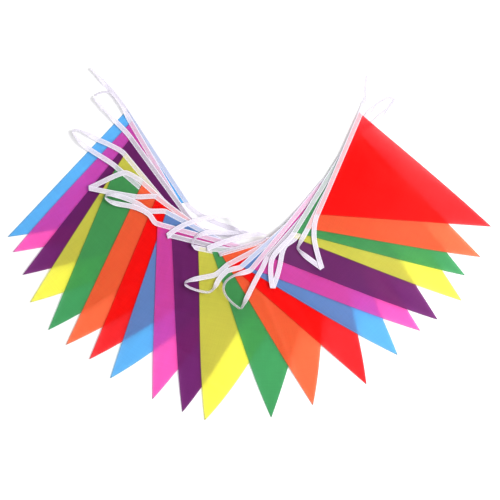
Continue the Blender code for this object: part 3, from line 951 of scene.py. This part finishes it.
# The creases of each pennant, in the same order as the pennants
CREASES = (
    (Crease((0.44, 0.76), (0.26, 0.33), 0.0004, 0.008),),
    (Crease((0.47, 0.84), (0.26, 0.39), -0.0004, 0.01),),
    (Crease((0.42, 0.7), (0.29, 0.4), 0.0005, 0.008),),
    (Crease((0.44, 0.74), (0.31, 0.52), -0.0006, 0.007),),
    (Crease((0.23, 0.62), (0.48, 0.41), 0.0008, 0.008),
     Crease((0.42, 0.7), (0.39, 0.36), -0.0004, 0.01)),
    (Crease((0.41, 0.72), (0.51, 0.54), -0.0007, 0.007),),
    (Crease((0.29, 0.58), (0.42, 0.4), 0.0008, 0.007),
     Crease((0.46, 0.83), (0.52, 0.68), -0.0005, 0.008)),
    (Crease((0.37, 0.73), (0.5, 0.61), -0.0008, 0.007),),
    (Crease((0.26, 0.47), (0.43, 0.46), -0.0009, 0.006),
     Crease((0.4, 0.69), (0.52, 0.61), 0.0007, 0.008)),
    (Crease((0.21, 0.42), (0.34, 0.42), -0.0009, 0.006),
     Crease((0.31, 0.63), (0.49, 0.67), -0.0009, 0.006),
     Crease((0.15, 0.15), (0.27, 0.36), 0.0006, 0.007)),
    (Crease((0.37, 0.75), (0.6, 0.82), 0.0009, 0.006),
     Crease((0.63, 0.86), (0.37, 0.69), -0.0005, 0.009)),
    (Crease((0.17, 0.52), (0.5, 0.43), 0.0006, 0.01),
     Crease((0.32, 0.73), (0.59, 0.69), -0.0005, 0.009)),
    (Crease((0.28, 0.31), (0.4, 0.78), 0.0009, 0.006),
     Crease((0.09, 0.08), (0.31, 0.07), -0.001, 0.007)),
    (Crease((0.36, 0.37), (0.34, 0.66), -0.0007, 0.009),
     Crease((0.09, 0.07), (0.27, 0.09), -0.0009, 0.006),
     Crease((0.52, 0.48), (0.4, 0.75), 0.0006, 0.009)),
    (Crease((0.3, 0.31), (0.47, 0.61), -0.0006, 0.007),),
    (Crease((0.54, 0.48), (0.29, 0.75), 0.0006, 0.008),
     Crease((0.32, 0.21), (0.36, 0.41), 0.0006, 0.008)),
    (Crease((0.24, 0.1), (0.22, 0.29), 0.0009, 0.008),
     Crease((0.45, 0.6), (0.45, 0.78), -0.0006, 0.009)),
    (Crease((0.23, 0.31), (0.45, 0.65), 0.0005, 0.007),),
    (Crease((0.13, 0.14), (0.22, 0.34), -0.0009, 0.006),
     Crease((0.36, 0.47), (0.4, 0.75), 0.0005, 0.008)),
    (Crease((0.27, 0.17), (0.51, 0.67), -0.0005, 0.01),),
    (Crease((0.78, 0.09), (0.6, 0.29), -0.0008, 0.01),
     Crease((0.46, 0.18), (0.58, 0.65), 0.0006, 0.014),
     Crease((0.34, 0.42), (0.89, 0.45), 0.0005, 0.016)),
)


@dataclass
class Pennant:
    """One pennant of thin satin, laid on its layer of the heap."""

    index: int
    lay: Lay
    creases: tuple[Crease, ...]
    cut: Cut = field(default_factory=Cut)
    thickness: float = 0.00022
    lift: float = 0.0005
    rows: int = 84
    tucked: float = 0.0015

    @property
    def node(self) -> str:
        """The name of the solid that this piece stands for."""
        return f"pennant_{self.index + 1:02d}_{self.lay.dye.value}"

    def lattice(self) -> tuple[Array, Array, Array, Array]:
        """Divide the triangle into small ones like itself.

        A vertex is held by three whole numbers that add up to rows: its shares of the left
        corner, the right corner and the tip.

        Returns:
            The shares of left, right and tip of each vertex, the faces, counter-clockwise, the
            rim in that order, and how far down each vertex is, from 0 to 1.
        """
        n = self.rows
        row = np.repeat(np.arange(n + 1), np.arange(n + 1, 0, -1))
        first = np.concatenate([[0], np.cumsum(np.arange(n + 1, 0, -1))])
        column = np.arange(len(row)) - first[row]
        shares = np.column_stack([n - row - column, column, row]) / n
        here = np.flatnonzero(row + column < n)
        below = first[row[here] + 1] + column[here]
        up = np.column_stack([here, below, here + 1])
        inner = np.flatnonzero(row + column < n - 1)
        under = first[row[inner] + 1] + column[inner]
        down = np.column_stack([inner + 1, under, under + 1])
        left_side = first[:n]
        right_side = first[1:n + 1] - 1
        rim = np.concatenate([left_side, [len(row) - 1], right_side[:0:-1], np.arange(n, 0, -1)])
        return shares, np.concatenate([up, down]), rim, row / n

    def flat_heights(self, across: Array, down: Array) -> Array:
        """Add up the creases: height times exp(-(distance / spread) squared).

        Args:
            across: How far across each vertex is, from 0 to 1.
            down: How far down it is, from 0 to 1.

        Returns:
            How far each vertex is raised.
        """
        size = np.array([self.cut.width, self.cut.height])
        place = np.column_stack([across, down]) * size
        total = np.zeros(len(place))
        for crease in self.creases:
            line = np.array([crease.start, crease.end]) * size
            total += crease.height * np.exp(-(distance_to_line(place, line) / crease.spread) ** 2)
        return total

    def plan(self, shares: Array, down: Array) -> Array:
        """Place the vertices in the plane, with the top edge tucked into the tape.

        Each sloping edge is pushed out by its bow times 27/4 t squared times 1 - t, where t is
        how far down it is, and the cloth beside it by a share that falls to zero at the other.

        Args:
            shares: The shares of left, right and tip of each vertex.
            down: How far down each vertex is.

        Returns:
            The plane points.
        """
        corners = np.array(self.cut.corners(self.lay))
        corners[:2] -= self.tucked * left_of(unit(corners[1] - corners[0]))
        plan = shares @ corners
        belly = BOW_PEAK * down ** 2 * (1.0 - down)
        span = np.maximum(1.0 - down, TINY)
        for corner, bow, way in ((0, self.lay.left_bow, -1.0), (1, self.lay.right_bow, 1.0)):
            out = way * left_of(unit(corners[2] - corners[corner]))
            plan += (bow * belly * shares[:, corner] / span)[:, None] * out
        return plan

    def make(self, heap: Heap) -> Piece:
        """Build the closed sheet: the lattice on the heap, given the cloth's thickness.

        Args:
            heap: The heap.

        Returns:
            The piece.
        """
        shares, faces, rim, down = self.lattice()
        plan = self.plan(shares, down)
        across = 0.5 + 0.5 * (shares[:, 1] - shares[:, 0])
        height = heap.height(plan, float(self.index)) + self.lift + self.flat_heights(across, down)
        middle = np.column_stack([plan, height])
        half = np.array([0.0, 0.0, 0.5 * self.thickness])
        count = len(middle)
        after = np.roll(rim, -1)
        sides = np.column_stack([rim, rim + count, after + count, after])
        all_faces = [*faces.tolist(), *(faces[:, ::-1] + count).tolist(), *sides.tolist()]
        # distance to the nearest cut edge, read by the satin's painted edge shade
        edge = np.minimum(shares[:, 0], shares[:, 1]) * self.cut.altitude
        uv = np.column_stack([across, 1.0 - down])
        return new_piece(f"satin_{self.node}", np.concatenate([middle + half, middle - half]),
                         all_faces, np.tile(uv, (2, 1)), {"cut_edge": np.tile(edge, 2)})

    def dress(self, piece: Piece, material: Material) -> None:
        """Give the sheet its satin, hang it on the root body and hide the solid it stands for.

        Args:
            piece: The sheet.
            material: Its satin.
        """
        piece.data.materials.append(material)
        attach(piece, "root")
        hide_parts(self.node)


@dataclass
class FoldedTape:
    """The white tape, folded along its middle over the pennants' top edges."""

    path: TapePath
    rows: Array
    heap: Heap
    cloth: float = 0.00013
    open_radius: float = 0.00042
    shut_radius: float = 0.00022
    lift: float = 0.0005
    flat_points: int = 4
    round_points: int = 3
    length: float = field(init=False, default=0.0)

    def radius(self, full: Array) -> Array:
        """Give the fold's radius, which grows as cloth fills it."""
        return self.shut_radius + (self.open_radius - self.shut_radius) * full

    def edges(self) -> tuple[Array, Array]:
        """Place the tape's open edge and its folded edge at every cross line.

        Returns:
            The two edges, on the middle surface between the two halves of the fold.
        """
        centre, across = self.rows[:, :2], self.rows[:, 2:4]
        rise, layer = self.rows[:, RISE], self.rows[:, LAYER]
        edges = []
        for side in (1.0, -1.0):
            plan = centre + side * across
            height = self.heap.height(plan, layer) + self.lift
            height += 0.5 * self.path.width * rise * (1.0 + side)
            edges.append(np.column_stack([plan, height]))
        return edges[0], edges[1]

    def axes(self) -> tuple[Array, Array, Array, Array, Array]:
        """Find what the cross-section is carried on.

        Returns:
            The centre, half width, unit normal and unit direction of every cross line, and how
            far along the tape it is.
        """
        opened, folded = self.edges()
        centre, half = 0.5 * (opened + folded), 0.5 * (opened - folded)
        steps = np.diff(centre, axis=0)
        runs = unit(steps)
        way = unit(np.concatenate([runs[:1], runs]) + np.concatenate([runs, runs[-1:]]))
        along = add_up(np.linalg.norm(steps, axis=1))
        return centre, half, unit(np.cross(way, half)), way, along

    def profile(self) -> tuple[Array, Array, Array]:
        """Draw the fold's cross-section, from one lip round the fold to the other.

        Returns:
            For each point of the outer line: its place across from -1 at the fold to 1 at the
            lips, less the rounding, then how far it follows the radius sideways and upwards.
        """
        flat = np.linspace(1.0, -1.0, self.flat_points)
        around = np.linspace(0.5 * pi, 1.5 * pi, self.round_points + 2)[1:-1]
        place = np.concatenate([flat, np.full(self.round_points, -1.0), flat[::-1]])
        ones = np.ones(self.flat_points)
        aside = np.concatenate([0.5 - 0.5 * flat, 1.0 + np.cos(around), 0.5 - 0.5 * flat[::-1]])
        upward = np.concatenate([ones, np.sin(around), -ones])
        return place, aside, upward

    def rings(self, centre: Array, half: Array, normal: Array) -> Array:
        """Place the closed cross-section at every cross line.

        A point stands at the centre, plus its place across times the half width, plus its share
        of the radius along the half width and along the normal. The inner line has the radius
        less the cloth, round the same middle where it goes round the fold.

        Args:
            centre: The centres of the cross lines.
            half: Their half widths.
            normal: Their normals.

        Returns:
            The rings: the outer line, and then the inner one backwards.
        """
        centre, half, normal = centre[:, None, :], half[:, None, :], normal[:, None, :]
        place, aside, upward = (values[None, :, None] for values in self.profile())
        across = unit(half)
        radius = self.radius(self.rows[:, FULL])[:, None, None]
        line = centre + place * half + radius * aside * across
        outer = line + radius * upward * normal
        inner = line + (radius - self.cloth) * upward * normal
        inner += np.where(np.abs(upward) < 1.0, self.cloth * (1.0 - aside) * across, 0.0)
        return np.concatenate([outer, inner[:, ::-1]], axis=1)

    def make(self) -> Piece:
        """Join the rings along the path, and close both ends between the two lines.

        Returns:
            The piece.
        """
        centre, half, normal, _, along = self.axes()
        rings = self.rings(centre, half, normal)
        stations, count = rings.shape[:2]
        k = np.arange(count)
        base = (count * np.arange(stations - 1))[:, None]
        after = (k + 1) % count
        quads = np.stack([base + k, base + after, base + count + after, base + count + k], axis=-1)
        m = count // 2      # the points of one line
        j = np.arange(m - 1)
        cap = np.column_stack([j, count - 1 - j, count - 2 - j, j + 1])
        last = count * (stations - 1) + cap[:, ::-1]
        faces = [*quads.reshape(-1, 4).tolist(), *cap.tolist(), *last.tolist()]
        place = self.profile()[0]
        ring_place = np.concatenate([place, place[::-1]])
        ring_u = np.concatenate([np.linspace(0.0, 1.0, m), np.linspace(1.0, 0.0, m)])
        uv = np.stack(np.broadcast_arrays(ring_u[None, :], (along / along[-1])[:, None]), axis=-1)
        self.length = float(along[-1])
        return new_piece("white_tape", rings.reshape(-1, 3), faces, uv.reshape(-1, 2),
                         {"across": np.tile(ring_place, stations)})

    def dress(self, piece: Piece, material: Material, stitches: Piece) -> None:
        """Give the tape its cloth, hang it on the root body and hide the tape's solid.

        Args:
            piece: The tape.
            material: Its cloth.
            stitches: The stitches in it. Not used.
        """
        piece.data.materials.append(material)
        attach(piece, "root")
        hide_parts("tape")


@dataclass
class Stitches:
    """The line of stitches near the tape's open edge, on both of its faces.

    A stitch has a ring of four points at each of its places, which are shares of its length. A
    ring is as thick as its share of the thread's radius, and sinks by another share of it.
    """

    tape: FoldedTape
    pitch: float = 0.0035
    length: float = 0.0024
    radius: float = 0.00014
    inset: float = 0.0015
    bend_limit: float = 0.93
    places: tuple[float, ...] = (-0.5, -0.3, 0.3, 0.5)
    thickness: tuple[float, ...] = (0.35, 1.0, 1.0, 0.35)
    dips: tuple[float, ...] = (-0.9, 0.0, 0.0, -0.9)

    def capsule(self) -> Array:
        """Join the rings of one stitch, and close both of its ends.

        Returns:
            The faces.
        """
        k = np.arange(4)
        side = np.column_stack([k, k + 4, (k + 1) % 4 + 4, (k + 1) % 4])
        last = 4 * (len(self.places) - 1)
        joined = [side + start for start in range(0, last, 4)]
        return np.concatenate([*joined, [k], [k[::-1] + last]])

    def make(self) -> Piece:
        """Build every stitch as a short four-sided capsule that dips at its ends.

        Stitches are left out where the tape bends sharply.

        Returns:
            The piece.
        """
        centre, half, normal, way, run = self.tape.axes()
        spots = np.arange(self.pitch, run[-1] - self.pitch, self.pitch)
        before, after = (unit(read_at(spots + shift, run, way))
                         for shift in (-self.length, self.length))
        spots = spots[(before * after).sum(axis=1) > self.bend_limit]
        across, up, along = (unit(read_at(spots, run, values)) for values in (half, normal, way))
        reach = np.linalg.norm(read_at(spots, run, half), axis=1, keepdims=True) - self.inset
        radius = self.tape.radius(np.interp(spots, run, self.tape.rows[:, FULL]))
        base = read_at(spots, run, centre) + reach * across
        thick, dip = np.array(self.thickness)[:, None], np.array(self.dips)[:, None]
        corner = np.arange(4) * 0.5 * pi + 0.25 * pi
        lengthwise = (self.length * np.array(self.places))[None, :, None, None]
        sideways = (self.radius * thick * np.cos(corner))[None, :, :, None]
        blocks = []
        for face in (1.0, -1.0):
            upwards = (face * self.radius * (dip + thick * np.sin(corner)))[None, :, :, None]
            middle = base + face * radius[:, None] * up
            rings = (middle[:, None, None, :] + lengthwise * along[:, None, None, :]
                     + sideways * across[:, None, None, :] + upwards * up[:, None, None, :])
            blocks.append(rings if face > 0.0 else rings[:, :, ::-1])
        points = np.concatenate(blocks).reshape(-1, 3)
        size = 4 * len(self.places)
        faces = self.capsule() + size * np.arange(len(points) // size)[:, None, None]
        return new_piece("tape_stitches", points, faces.reshape(-1, 4).tolist(),
                         np.zeros((len(points), 2)), {})

    def dress(self, piece: Piece, material: Material) -> None:
        """Give the stitches their thread.

        Args:
            piece: The stitches.
            material: Their thread.
        """
        piece.data.materials.append(material)
        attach(piece, "root")


@dataclass(frozen=True)
class Studio:
    """A pale floor, soft light and a camera straight above."""

    view_width: float = 0.9035
    view_centre: tuple[float, float] = (0.00113, -0.01085)
    camera_height: float = 5.0
    sensor: float = 36.0
    floor_size: float = 40.0
    floor_drop: float = 0.0003
    floor_colour: Colour = (0.92, 0.92, 0.92)
    floor_roughness: float = 0.9
    floor_specular: float = 0.1
    sky: float = 0.75
    key_place: tuple[float, float, float] = (0.95, 0.15, 1.60)
    key_size: float = 0.9
    key_power: float = 34.0
    clip_end: float = 100.0
    clear_layers: int = 24

    def floor(self) -> None:
        """Lay the floor just under the lowest cloth."""
        s, z = 0.5 * self.floor_size, -self.floor_drop
        mesh = bpy.data.meshes.new("floor")
        mesh.from_pydata([(-s, -s, z), (s, -s, z), (s, s, z), (-s, s, z)], [], [(0, 1, 2, 3)])
        floor = bpy.data.objects.new("floor", mesh)
        bpy.context.scene.collection.objects.link(floor)
        material, n = new_material("pale_floor", self.floor_colour)
        shader = n.add("BsdfPrincipled", (*self.floor_colour, 1.0),
                       named={"Roughness": self.floor_roughness,
                              "Specular IOR Level": self.floor_specular})
        n.add("OutputMaterial", shader.outputs[0])
        mesh.materials.append(material)

    def light(self) -> None:
        """Light the scene from all round, and more from the right."""
        world = bpy.data.worlds.new("studio")
        world.use_nodes = True
        background = world.node_tree.nodes["Background"].inputs
        background["Color"].default_value = (1.0, 1.0, 1.0, 1.0)
        background["Strength"].default_value = self.sky
        bpy.context.scene.world = world
        lamp = bpy.data.lights.new("key", "AREA")
        lamp.shape = "SQUARE"
        lamp.size = self.key_size
        lamp.energy = self.key_power
        key = bpy.data.objects.new("key", lamp)
        key.location = self.key_place
        aim = np.array([*self.view_centre, 0.0]) - np.array(self.key_place)
        key.rotation_euler = Vector(aim).to_track_quat("-Z", "Y").to_euler()
        bpy.context.scene.collection.objects.link(key)

    def camera(self) -> None:
        """Hang the camera above the fan, far enough to see it without slant."""
        lens = bpy.data.cameras.new("above")
        lens.sensor_width = self.sensor
        lens.lens = self.sensor * self.camera_height / self.view_width
        lens.clip_end = self.clip_end
        camera = bpy.data.objects.new("above", lens)
        camera.location = (*self.view_centre, self.camera_height)
        bpy.context.scene.collection.objects.link(camera)
        bpy.context.scene.camera = camera

    def build(self) -> None:
        """Set up the studio, with plain colours and room for many layers of sheer tape."""
        self.floor()
        self.light()
        self.camera()
        bpy.context.scene.view_settings.view_transform = "Standard"
        bpy.context.scene.cycles.transparent_max_bounces = self.clear_layers


def report(piece: Piece) -> None:
    """Log a piece's name and how many faces it has."""
    LOG.info("%s: %d faces", piece.name, len(piece.data.polygons))


def main() -> None:
    """Build the bunting in order and report each piece."""
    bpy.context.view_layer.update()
    Studio().build()
    weave = Weave().group()
    satins = {finish.dye: finish.material(weave) for finish in SATINS}
    path = TapePath()
    rows = path.follow()
    heap = pile_up(path, rows)
    tape = FoldedTape(path, rows, heap)
    tape_piece = tape.make()
    LOG.info("the tape is %.2f m long", tape.length)
    report(tape_piece)
    stitches = Stitches(tape)
    thread = stitches.make()
    stitches.dress(thread, ThreadFinish().material())
    report(thread)
    tape.dress(tape_piece, TapeFinish().material(weave), thread)
    for index, (lay, creases) in enumerate(zip(LAYS, CREASES)):
        pennant = Pennant(index, lay, creases)
        piece = pennant.make(heap)
        pennant.dress(piece, satins[lay.dye])
        report(piece)


if __name__ == "__main__":
    logging.basicConfig(level=logging.INFO, format="%(name)s: %(message)s")
    main()
